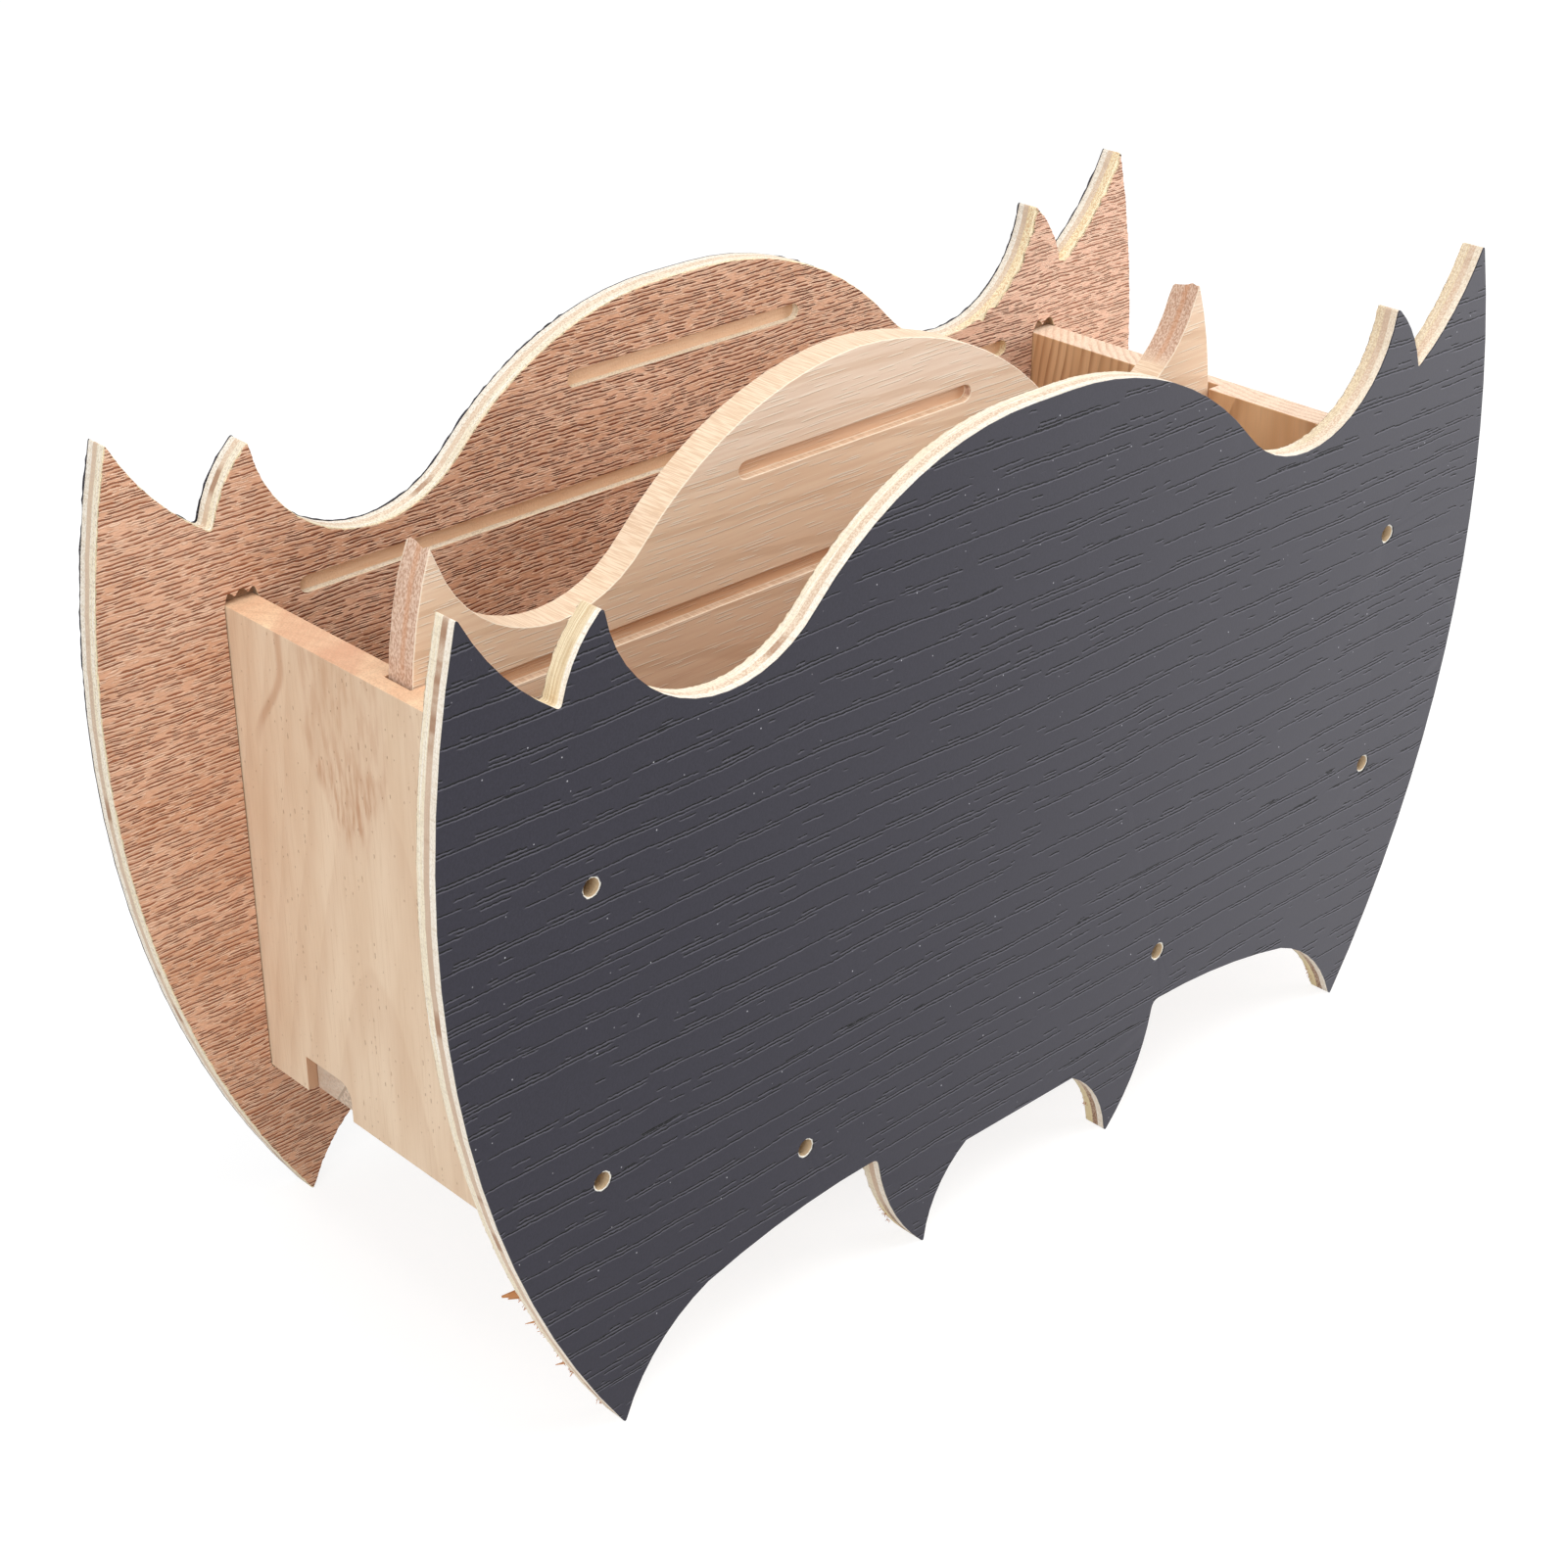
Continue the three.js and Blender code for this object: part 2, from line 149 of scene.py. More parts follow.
# %% A finish is a material in the making
class Finish:
    """A material whose pattern is written with wires."""

    def __init__(self, name):
        self.material = bpy.data.materials.new(name)
        self.material.use_nodes = True
        self.tree = self.material.node_tree
        self.shader = self.tree.nodes["Principled BSDF"]
        place = self.node("ShaderNodeTexCoord", {}, {}, "Object")
        scale = {"operation": "SCALE"}
        in_mm = self.node("ShaderNodeVectorMath", scale, {0: place, "Scale": 1 / mm})
        self.x, self.y, self.z = self.axes(in_mm)
        facing = self.node("ShaderNodeNewGeometry", {}, {}, "True Normal")
        self.facing_x, self.facing_y, self.facing_z = [abs(axis) for axis in self.axes(facing)]

    def node(self, kind, settings, sockets, output=0):
        """Adds a node: its settings first, then its sockets' values or links."""
        made = self.tree.nodes.new(kind)
        for name, value in settings.items():
            setattr(made, name, value)
        for name, value in sockets.items():
            if isinstance(value, Wire):
                self.tree.links.new(value.socket, made.inputs[name])
            else:
                made.inputs[name].default_value = value
        return Wire(self, made.outputs[output])

    def axes(self, vector):
        split = self.node("ShaderNodeSeparateXYZ", {}, {0: vector})
        return [Wire(self, socket) for socket in split.socket.node.outputs]

    def maths(self, operation, *values):
        return self.node("ShaderNodeMath", {"operation": operation}, dict(enumerate(values)))

    def point(self, x, y=0, z=0):
        return self.node("ShaderNodeCombineXYZ", {}, {0: x, 1: y, 2: z})

    def cloud(self, x, y=0, z=0, detail=2):
        """Smooth noise from 0 to 1, one unit to a blob."""
        sockets = {"Vector": self.point(x, y, z), "Scale": 1, "Detail": detail}
        return self.node("ShaderNodeTexNoise", {}, sockets)

    def dice(self, x, y=0, z=0):
        """A number from 0 to 1 that jumps from one value to the next."""
        return self.node("ShaderNodeTexWhiteNoise", {}, {"Vector": self.point(x, y, z)})

    def step(self, low, high, value):
        """0 below low, 1 above high and smooth between them."""
        settings = {"interpolation_type": "SMOOTHSTEP"}
        return self.node("ShaderNodeMapRange", settings, {0: value, 1: low, 2: high})

    def band(self, low, high, soft, value):
        """1 between low and high, with soft edges."""
        return self.step(low - soft, low, value) * (1 - self.step(high, high + soft, value))

    def mix(self, factor, first, second):
        settings = {"data_type": "RGBA", "clamp_factor": True}
        return self.node("ShaderNodeMix", settings, {0: factor, 6: first, 7: second}, 2)

    def bump(self, height, depth):
        """Turns a height from 0 to 1 into a surface of that depth in millimetres."""
        sockets = {"Height": height, "Distance": depth * mm, "Strength": 1}
        return self.node("ShaderNodeBump", {}, sockets)

    def wear(self, **sockets):
        """Sets the shader's own sockets, with a constant or a wire each."""
        for name, value in sockets.items():
            socket = self.shader.inputs[name.replace("_", " ")]
            if isinstance(value, Wire):
                self.tree.links.new(value.socket, socket)
            else:
                socket.default_value = value
        return self.material


# %% Colours as a screen shows them
def paint(red, green, blue):
    """A colour as a screen shows it, turned into the linear colour that a shader needs."""
    shares = [level / 255 for level in (red, green, blue)]
    linear = [s / 12.92 if s <= 0.04045 else ((s + 0.055) / 1.055) ** 2.4 for s in shares]
    return (*linear, 1)


# %% [markdown]
# ## The lines that every wood shows
# Flecks, furrows and the grain pressed into the film are thin marks that lie in lanes along
# the grain. The plane is cut into lanes, each lane gets its own line at a random height, and
# noise along the lane switches the line on and off, so no two marks have the same length.
# A gentle switch gives a mark that swells from both ends, as the furrows of rough wood do.


# %% Marks in lanes along the grain
def lanes(finish, along, across, pitch, length, seed, shift=0):
    """How far a point is from its lane's own line, and the noise along that lane."""
    lane = (across / pitch).floor()
    middle = pitch * (lane + 0.3 + 0.4 * finish.dice(lane, seed)) + shift
    row = lane * 9.1 + (seed + 7 * shift)
    run = finish.cloud(along / length + lane * 3.7, row, detail=1)
    return across - middle, run


def stroke(finish, distance, run, gate, width, taper=0.03):
    """1 on a line wherever the noise along its lane is above the gate."""
    swell = finish.step(gate, gate + taper, run)
    near = abs(distance) / (0.2 * width + 0.8 * width * swell)
    return swell * (1 - finish.step(0.3, 0.7, near))


# %% [markdown]
# ## The black film
# The outer face of both panels is a thin plastic film with a wood grain pressed into it: pairs
# of fine grooves that wander along the width, break off and start again, each with a small
# lip beside it. The film itself is almost black. What makes it look charcoal grey is the
# soft reflection of a white room, so a clear coat carries that reflection over the flat
# film, and the grooves, where little light gets back out, have hardly any. The grooves are
# also painted near black as painted shade, and the lips paler as painted highlight. The
# coat's weight grows from left to right, a painted sheen for the light that falls brighter on
# the right of the film.


# %% Black embossed film
def black_film():
    finish = Finish("black_film")
    mix, step, cloud = finish.mix, finish.step, finish.cloud
    along = finish.x + 400 * step(-1, 1, finish.y)
    z = finish.z
    sway = 6 * cloud(along / 120, z / 70) + 0.9 * cloud(along / 14, z / 10)
    across = z + sway + 0.5 * cloud(along / 1.4, z / 2)
    groove_and_shade, lip_and_highlight = 0, 0
    for pitch, length, gate, seed, shift in [
        (6.3, 24, 0.41, 3, -0.4),
        (6.3, 15, 0.43, 3, 0.4),
        (6.3, 7, 0.57, 3, 1.2),
        (4.4, 11, 0.57, 11, 0),
    ]:
        distance, run = lanes(finish, along, across, pitch, length, seed, shift)
        groove_and_shade = stroke(finish, distance, run, gate, 0.32).most(groove_and_shade)
        lip_and_highlight = stroke(finish, distance + 0.32, run, gate, 0.3).most(lip_and_highlight)
    groove_and_shade = groove_and_shade * (0.4 + 0.6 * step(0.3, 0.5, cloud(along / 1.1, 1, z / 0.8)))
    spots = {"Vector": finish.point(along / 3.2, 0, z / 3.2), "Scale": 1}
    spot = finish.node("ShaderNodeTexVoronoi", {}, spots)
    dusty = step(0.48, 0.56, cloud(along / 9, 4, z / 9))
    dust = dusty * (1 - step(0.03, 0.065, spot))
    grit = cloud(along / 0.5, finish.y / 0.5, z / 0.5)
    colour = mix(grit, paint(22, 20, 32), paint(42, 40, 52))
    # Painted highlight: the lip beside each groove is painted paler, as if lit from above.
    colour = mix(0.5 * lip_and_highlight, colour, paint(104, 102, 112))
    # Painted shade: the grooves are painted almost black, for the light that cannot get back out
    # of them.
    colour = mix(groove_and_shade, colour, paint(5, 5, 7))
    colour = mix(dust, colour, paint(180, 180, 184))
    height = 0.14 * grit + 0.3 * lip_and_highlight - groove_and_shade
    return finish.wear(
        Base_Color=colour,
        Roughness=0.5 + 0.1 * grit,
        Specular_IOR_Level=0.2,
        # Painted sheen: the coat's weight grows from left to right, for the light that falls
        # brighter on the right of the film.
        Coat_Weight=(0.3 + 0.5 * step(-150, 150, finish.x)) * (1 - 0.86 * groove_and_shade),
        Coat_Roughness=0.36,
        Coat_Tint=paint(250, 248, 255),
        Normal=finish.bump(height, 0.2),
    )


# %% [markdown]
# ## The plywood edge
# A saw cut through plywood shows its layers: pale, brown, pale. The middle layer runs the
# other way, so its edge is cut across the fibres and looks like stubble. The share of the
# thickness at a point, from 0 at the veneer to 1 at the film, tells which layer it is in.
# Wear and painted shade are then laid over the layers by place. On the ear and wing at the right
# the back panel is torn and the front panel weathered. The front panel's low points are yellow
# and burnt, its left wing tip is spotted, and its left ear has a yellow patch. The walls of the
# screw holes are painted with shade that darkens away from the film.


# %% Sawn layers
wall_bore_x = 121.5, 126.5
upper_bore_z, lower_bore_z = (126, 132), (60.5, 68.5)
roof_bore_x, roof_bore_z = (44, 71), (41, 46.2)
left_ear_x = -138, -117


class Ply:
    """The plywood finish and the patterns that its layers share."""

    def __init__(self):
        finish = Finish("plywood")
        low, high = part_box("front_panel_ply")
        x, y, z = finish.x, finish.y, finish.z
        self.finish = finish
        self.depth = abs(y) - abs(high.y) / mm
        uneven = 0.06 * (finish.cloud(x / 5, 0, z / 5) - 0.5)
        self.share = self.depth * (mm / (high.y - low.y)) + uneven
        self.streak = finish.cloud(x / 14, y / 0.25, z / 14, detail=3)
        self.chatter = finish.cloud(x / 0.7, y / 7, z / 0.7)
        self.stubble = finish.cloud(x / 0.45, y / 0.35, z / 0.45)
        self.is_back = finish.step(-1, 1, y)
        self.is_front = 1 - self.is_back
        self.low_point = self.is_front * (1 - finish.step(8, 18, z)) * finish.step(-60, -50, x)

    def pale_layers(self):
        finish, share = self.finish, self.share
        mix, step = finish.mix, finish.step
        pale = mix(step(0.4, 0.6, share), paint(240, 227, 200), paint(242, 232, 216))
        pale = mix(step(0.45, 0.7, self.streak), pale, paint(252, 246, 236))
        pale = mix(0.5 * step(0.5, 0.72, self.chatter), pale, paint(222, 206, 182))
        stubbly = (0.4 + 0.3 * self.is_back) * step(0.5, 0.64, self.stubble)
        pale = mix(stubbly, pale, paint(196, 180, 160))
        right_ear = step(84, 96, finish.x) * step(130, 145, finish.z)
        inner_half = 1 - step(0.4, 0.5, share)
        rough = step(0.4, 0.6, self.stubble)
        torn = mix(rough, paint(250, 236, 196), paint(222, 184, 138))
        pale = mix(0.85 * self.is_back * right_ear * inner_half, pale, torn)
        rough = step(0.36, 0.6, self.stubble)
        weathered = mix(rough, paint(234, 214, 176), paint(198, 168, 130))
        less_outside = 1 - 0.5 * step(0.5, 0.6, share)
        pale = mix(0.6 * self.is_front * right_ear * less_outside, pale, weathered)
        return mix(0.7 * self.low_point * inner_half, pale, paint(236, 216, 164))

    def brown_layer(self):
        finish = self.finish
        mix, step, cloud = finish.mix, finish.step, finish.cloud
        rough = step(0.38, 0.62, self.stubble)
        cut_across = mix(rough, paint(242, 226, 204), paint(214, 184, 156))
        cut_along = mix(self.streak, paint(182, 152, 128), paint(220, 196, 174))
        flecks = 0.5 * self.is_back * step(0.45, 0.6, self.stubble)
        cut_along = mix(flecks, cut_along, paint(232, 214, 186))
        brown = mix(finish.facing_z, cut_along, cut_across)
        wing_tip = self.is_front * (1 - step(-149, -147, finish.x))
        wing_tip = wing_tip * step(166, 172, finish.z)
        tip_spots = wing_tip * step(0.4, 0.6, cloud(finish.z / 4))
        blotch = cloud(finish.x / 12, 6, finish.z / 12, detail=3)
        spots = step(0.58, 0.68, blotch).most(tip_spots)
        brown = mix(0.7 * spots, brown, paint(150, 104, 72))
        burnt = self.low_point * (0.3 + 0.5 * step(0.4, 0.6, self.stubble))
        return mix(burnt, brown, paint(120, 74, 42))

    def edge(self):
        """Any surface across the layers: a sawn edge or the wall of a hole."""
        finish, x, z = self.finish, self.finish.x, self.finish.z
        mix, step, band = finish.mix, finish.step, finish.band
        core = band(0.4, 0.66, 0.04, self.share)
        edge = mix(core, self.pale_layers(), self.brown_layer())
        patch = band(*left_ear_x, 2, x) * step(145, 155, z)
        patch = patch * self.is_front * (1 - step(0.72, 0.8, self.share))
        coarse = step(0.35, 0.65, self.streak)
        yellowed = mix(coarse, paint(206, 176, 132), paint(238, 222, 186))
        edge = mix(0.8 * patch, edge, yellowed)
        wall_bores = band(*upper_bore_z, 0.3, z) + band(*lower_bore_z, 0.3, z)
        wall_bores = band(*wall_bore_x, 0.3, abs(x)) * wall_bores
        roof_bores = band(*roof_bore_x, 0.3, abs(x)) * band(*roof_bore_z, 0.3, z)
        near_film = step(1, 5.4, self.depth)
        # Painted shade: the walls of the screw holes darken away from the film, where the holes
        # open.
        bore_shade = mix(near_film, paint(132, 104, 72), paint(206, 180, 140))
        return mix(0.85 * (wall_bores + roof_bores), edge, bore_shade)


# %% [markdown]
# Surfaces that lie flat in the panel show a layer's own face. Just under the veneer the wood
# is fresh, and the floors of the grooves and pockets have gone tan. Just under the film,
# where it has chipped round the holes, the wood is pale and is painted almost white, a painted
# highlight on pale wood. Above each wall's end the router tore the wood, and the pocket there
# is painted dark as painted shade.


# %% Plywood
torn_pocket_x, torn_pocket_z, torn_pocket_depth = (118.6, 129.6), (151.2, 156), (0.1, 2.4)


def plywood():
    ply = Ply()
    finish, depth = ply.finish, ply.depth
    mix, step, band = finish.mix, finish.step, finish.band
    floor_grain = finish.cloud(finish.x / 6, finish.y, finish.z / 0.5, detail=3)
    fresh = mix(floor_grain, paint(236, 218, 172), paint(254, 248, 224))
    tan = mix(floor_grain, paint(222, 176, 140), paint(242, 210, 178))
    face = mix(band(0.8, 4.4, 0.3, depth), fresh, tan)
    # Just under the film the wood is pale, and it is painted nearly white: pale wood with a
    # painted highlight on the chipped rings.
    face = mix(0.8 * step(4.6, 5, depth), face, paint(254, 252, 246))
    colour = mix(step(0.5, 0.7, finish.facing_y), ply.edge(), face)
    # Painted shade: the torn pocket above each wall's end is painted dark brown, for the shade
    # inside it.
    pocket_shade = band(*torn_pocket_x, 0.3, abs(finish.x))
    pocket_shade = pocket_shade * band(*torn_pocket_z, 0.3, finish.z)
    pocket_shade = pocket_shade * band(*torn_pocket_depth, 0.1, depth)
    dark = mix(ply.stubble, paint(70, 40, 22), paint(150, 104, 64))
    colour = mix(0.75 * pocket_shade, colour, dark)
    height = 0.5 * ply.stubble + 0.3 * ply.chatter + 0.4 * ply.streak + 0.3 * floor_grain
    return finish.wear(Base_Color=colour, Roughness=0.8, Normal=finish.bump(height, 0.25))


# %% [markdown]
# ## The red veneer
# The inner faces carry a rough, cheap veneer peeled from a reddish log. It was never sanded:
# short dark furrows lie packed between ridges, like corduroy. Two sets of lanes draw the
# furrows, each with its ridge beside it, and stretched noise makes the lumps. The ridges are
# painted paler as painted highlight, and between the walls the furrows are painted darker as
# painted shade.


# %% Reddish inner veneer
def red_veneer():
    finish = Finish("red_veneer")
    mix, step, cloud = finish.mix, finish.step, finish.cloud
    along = finish.x + 300 * step(-1, 1, finish.y)
    z = finish.z
    across = z + 3 * cloud(along / 40, z / 25) + 0.8 * cloud(along / 4, z / 2)
    furrow, ridge_and_highlight = 0, 0
    for length, gate, shift, width in [(4.6, 0.37, 0, 0.34), (3, 0.5, 0.52, 0.22)]:
        distance, run = lanes(finish, along, across, 1.02, length, 5, shift)
        furrow = stroke(finish, distance, run, gate, width, 0.14).most(furrow)
        ridge_and_highlight = stroke(finish, distance + 0.34, run, gate - 0.04, 0.34, 0.1).most(ridge_and_highlight)
    fine = cloud(along / 2.4, 2, across / 0.26)
    region = step(0.35, 0.65, cloud(along / 45, 8, z / 14))
    far_right = step(30, 130, finish.x) * step(-1, 1, finish.y)
    chamber_shade = finish.band(-100, 110, 25, finish.x)
    colour = mix(region, paint(218, 168, 136), paint(232, 186, 156))
    colour = mix(0.75 * far_right, colour, paint(242, 204, 182))
    colour = mix(0.45 * step(0.45, 0.7, fine), colour, paint(176, 120, 90))
    # Painted highlight: the ridge beside each furrow is painted paler.
    colour = mix(0.6 * ridge_and_highlight, colour, paint(252, 220, 194))
    # Painted shade: the furrows are painted darker between the walls, in the chamber.
    furrow_tone = mix(chamber_shade, paint(150, 80, 48), paint(118, 48, 24))
    colour = mix((0.8 - 0.1 * far_right) * furrow, colour, furrow_tone)
    height = 0.5 * ridge_and_highlight - 0.4 * fine - 0.9 * furrow
    side = 1 - step(0.3, 0.5, finish.facing_y)
    colour = mix(side, colour, paint(236, 216, 186))
    return finish.wear(
        Base_Color=colour, Roughness=0.8, Specular_IOR_Level=0.05, Normal=finish.bump(height, 0.3)
    )


# %% [markdown]
# ## Pine
# A board shows the growth rings of its tree: stripes and arches on its faces, arcs on its
# ends. Both come from one sum if the rings are drawn in space, as cylinders round a pith
# that lies outside the board. The board then cuts them wherever its surfaces are. The two
# side walls have upright grain, and the roof board has level grain.


# %% Pine
def pine(along, wide, deep, pith, end, heart, figure, end_light, end_dark, end_band, band_tone):
    """Pine whose grain runs along one axis; heart from 0 to 1 turns it orange."""
    finish = along.finish
    mix, step, cloud = finish.mix, finish.step, finish.cloud
    lean = wide - 12 + 0.05 * along + 30 * heart
    out = deep - pith
    wander = 2.4 * cloud(wide / 20, along / 60, deep / 20)
    wander = wander + 1.3 * heart * cloud(wide / 5, 15, along / 140)
    patchy = step(0.36, 0.62, cloud(wide / 5, 12, along / 80))
    radius = finish.maths("SQRT", lean * lean + out * out) + 0.07 * along + wander
    ring = finish.maths("FRACT", radius / (3.6 - 1.7 * heart))
    late = step(0.35, 0.92, ring) * (1 - step(0.94, 1, ring))
    broad = step(0.3, 0.75, cloud(wide / 9, 3 + 5 * heart, along / 45))
    fibre = cloud(wide / 0.3, along / 12, deep / 0.3)
    colour = mix(broad, paint(232, 208, 180), paint(222, 194, 164))
    warm = mix(broad, paint(240, 196, 146), paint(216, 164, 112))
    colour = mix(0.85 * heart, colour, warm)
    colour = mix((0.1 + (0.12 + 0.5 * patchy) * heart) * late, colour, paint(168, 112, 70))
    colour = mix(0.35 * step(0.45, 0.75, fibre), colour, paint(206, 174, 140))
    colour = mix(0.85 * figure, colour, paint(184, 134, 98))
    distance, run = lanes(finish, along, wide, 2.3, 1.5, 7)
    fleck = stroke(finish, distance, run, 0.62, 0.28, 0.08) * (1 - heart)
    colour = mix(0.5 * fleck, colour, paint(150, 106, 72))
    dots = cloud(wide / 0.35, along, deep / 0.35)
    cut_end = mix(0.7 * heart, mix(broad, end_light, end_dark), paint(250, 230, 210))
    cut_end = mix((0.12 + 0.36 * heart * patchy) * late, cut_end, paint(184, 132, 96))
    cut_end = mix(end_band, cut_end, band_tone)
    cut_end = mix(0.35 * step(0.4, 0.65, dots), cut_end, paint(190, 150, 120))
    colour = mix(step(0.6, 0.8, end), colour, cut_end)
    height = 0.5 * fibre + 0.3 * late - 0.8 * fleck
    return finish.wear(Base_Color=colour, Roughness=0.62, Normal=finish.bump(height, 0.1))


# %% [markdown]
# The left wall was cut close to a knot. The grain bends round it in a smoky wedge that
# narrows downwards, with brown streaks in its point, and in one brown curl behind it. The
# right wall is heartwood, closely striped in orange brown.

# %% Wall pine and roof pine
wall = Finish("wall_pine")
is_right = wall.step(-1, 1, wall.x)
ragged = 7 * wall.cloud(wall.y / 5, 1, wall.z / 22, detail=3)
streaks = wall.step(0.4, 0.66, wall.cloud(wall.y / 1.8, 6, wall.z / 9, detail=3))

wedge_half = 3 + 9 * wall.step(113, 134, wall.z)
wedge = 1 - wall.step(0, 5, abs(wall.y - 17 + ragged) - wedge_half)
wedge = wedge * wall.step(106, 116, wall.z)
wedge_point = 1 - wall.step(122, 136, wall.z)
smoke = wedge * (0.16 + 0.3 * streaks + 0.4 * streaks * wedge_point)

curl = wall.y - 35.5 + 0.3 * ragged - 11 * (1 - wall.step(122, 144, wall.z))
curl = (1 - wall.step(0.3, 2, abs(curl))) * wall.step(120, 132, wall.z)
figure = (1 - is_right) * smoke.most(0.6 * curl)

slanted = wall.y + 0.8 * (abs(wall.x) - 124) + 0.4 * ragged
top_band = wall.band(14, 40, 3, slanted) * (0.2 + 0.5 * wall.cloud(slanted / 0.8, 9, wall.y / 12))

# Faces of the walls that look front or back, short of the panels, are painted brown.
y_facing_brown = wall.step(0.7, 0.9, wall.facing_y) * (1 - wall.step(48, 50, abs(wall.y)))
figure = figure.most(0.9 * y_facing_brown)

wall_pine = pine(
    wall.z, wall.y, abs(wall.x), pith=186, end=wall.facing_z, heart=is_right, figure=figure,
    end_light=paint(246, 212, 174), end_dark=paint(228, 182, 146),
    end_band=(1 - is_right) * top_band, band_tone=paint(206, 148, 118),
)

roof = Finish("roof_pine")
specks = roof.step(0.42, 0.6, roof.cloud(roof.y / 0.7, 2, roof.z / 0.7, detail=3))
slant = abs(roof.y) + 0.7 * (roof.z - 42)
zone_line = roof.band(28.2, 28.7, 0.3, slant)
end_tones = (0.25 + 0.4 * (1 - roof.step(28.4, 28.9, slant))) * specks
roof_pine = pine(
    roof.x, roof.y, roof.z, pith=-14, end=roof.facing_x, heart=0.15, figure=0.1,
    end_light=paint(216, 198, 178), end_dark=paint(198, 178, 158),
    end_band=end_tones.most(0.7 * zone_line), band_tone=paint(146, 128, 110),
)


# %% [markdown]
# ## Beech
# The partition is a close-grained board with level grain: long fine streaks, a fine hatch of
# short strokes, and faint arches. It is painted browner towards the roof, as painted shade deep
# between the panels, and palest on its hump, as painted light. Its sawn rim is hatched across
# the thickness. Where the rim cuts the fibres end on, most of all on the horns, it turns
# pinkish grey with an orange streak along its middle. The floors of its grooves are painted
# orange brown as painted shade. The narrow bevel between face and rim is painted the palest
# of all, as a painted highlight.


# %% Beech face
def beech_face(finish):
    """The face's colour, its streaks, and its strokes as heights."""
    mix, step, cloud, band = finish.mix, finish.step, finish.cloud, finish.band
    x, z = finish.x, finish.z
    across = z + 3 * cloud(x / 120, 1, z / 50) + 0.5 * cloud(x / 16, 1, z / 7)
    streak = cloud(x / 40, 4, across / 1.3, detail=3)
    arch_x, arch_z = (x + 150) / 6, z - 118
    arch = finish.maths("SQRT", arch_x * arch_x + arch_z * arch_z)
    arch = arch + 3 * cloud(x / 30, 7, z / 20)
    arch = band(0.84, 0.97, 0.08, finish.maths("FRACT", arch / 8.5))
    pale_line, dark_line = 0, 0
    for pitch, length, gate, seed in [(0.9, 8, 0.5, 2), (1.4, 13, 0.47, 6)]:
        distance, run = lanes(finish, x, across, pitch, length, seed)
        pale_line = stroke(finish, distance, run, gate, 0.24, 0.14).most(pale_line)
        dark_line = stroke(finish, distance + 0.24, run, gate, 0.2, 0.14).most(dark_line)
    # Painted light: the tones are paler on the hump, which stands highest in the light.
    hump = step(166, 182, z)
    light = mix(hump, paint(246, 220, 190), paint(248, 229, 208))
    dark = mix(hump, paint(236, 204, 172), paint(236, 211, 187))
    colour = mix(step(0.3, 0.7, streak), light, dark)
    colour = mix(0.3 * arch, colour, paint(206, 166, 128))
    # Painted shade: the face is painted browner lower down, deep between the panels.
    colour = mix(0.32 * (1 - step(70, 165, z)), colour, paint(214, 166, 124))
    colour = mix(0.35 * dark_line, colour, paint(176, 130, 92))
    colour = mix(0.8 * pale_line, colour, paint(255, 246, 228))
    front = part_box("roost_partition")[0].y / mm
    groove_floor_shade = band(front + 1.5, front + 2.5, 0.2, finish.y)
    groove_floor_shade = groove_floor_shade * step(0.9, 0.98, finish.facing_y)
    # Painted shade: the groove floors are painted orange brown, for the shade under the grooves'
    # upper walls.
    colour = mix(0.5 * groove_floor_shade, colour, paint(224, 172, 128))
    return colour, streak, 0.3 * pale_line - 0.5 * dark_line


# %% Beech rim
def beech_rim(finish):
    """The sawn rim's colour, and the marks of the saw."""
    mix, step, cloud = finish.mix, finish.step, finish.cloud
    x, y, z = finish.x, finish.y, finish.z
    chatter = cloud(x / 0.26, y / 7, z / 0.26)
    hatched = step(0.4, 0.6, chatter)
    hatched = mix(hatched, paint(244, 218, 190), paint(224, 192, 160))
    speckled = step(0.35, 0.65, cloud(x / 0.4, y / 0.4, z / 0.8, detail=3))
    speckled = mix(speckled, paint(190, 148, 122), paint(230, 202, 180))
    middle_streak = finish.band(-1.2, -0.6, 0.8, y + cloud(z / 8))
    middle_streak = middle_streak * step(150, 158, z)
    speckled = mix(0.5 * middle_streak, speckled, paint(206, 146, 104))
    end_on = finish.facing_x + 0.3 * step(100, 108, abs(x))
    return mix(step(0.66, 0.96, end_on), hatched, speckled), chatter


# %% Beech
def beech():
    finish = Finish("beech")
    face, streak, strokes = beech_face(finish)
    rim_tone, chatter = beech_rim(finish)
    rim = 1 - finish.step(0.3, 0.5, finish.facing_y)
    arris_highlight = finish.band(0.33, 0.94, 0.03, finish.facing_y)
    colour = finish.mix(rim, face, rim_tone)
    # Painted highlight: the narrow bevel between face and rim is painted palest.
    colour = finish.mix(0.7 * arris_highlight, colour, paint(254, 240, 218))
    height = 0.5 * streak + strokes * (1 - rim) + chatter * rim
    return finish.wear(Base_Color=colour, Roughness=0.6, Normal=finish.bump(height, 0.08))


# %% [markdown]
# ## Zinc
# The screws are zinc-plated steel: bright metal whose roughness varies in smudges.


# %% Zinc-plated steel
def zinc_steel():
    finish = Finish("zinc_steel")
    smudge = finish.cloud(finish.x / 1.5, finish.y / 1.5, finish.z / 1.5, detail=3)
    colour = finish.mix(smudge, paint(190, 194, 200), paint(226, 228, 230))
    return finish.wear(Base_Color=colour, Metallic=1, Roughness=0.25 + 0.25 * smudge)


finishes = {
    "black_film": black_film(),
    "plywood": plywood(),
    "red_veneer": red_veneer(),
    "pine": wall_pine,
    "beech": beech(),
    "zinc_screw": zinc_steel(),
}
print("finishes:", ", ".join(finishes))

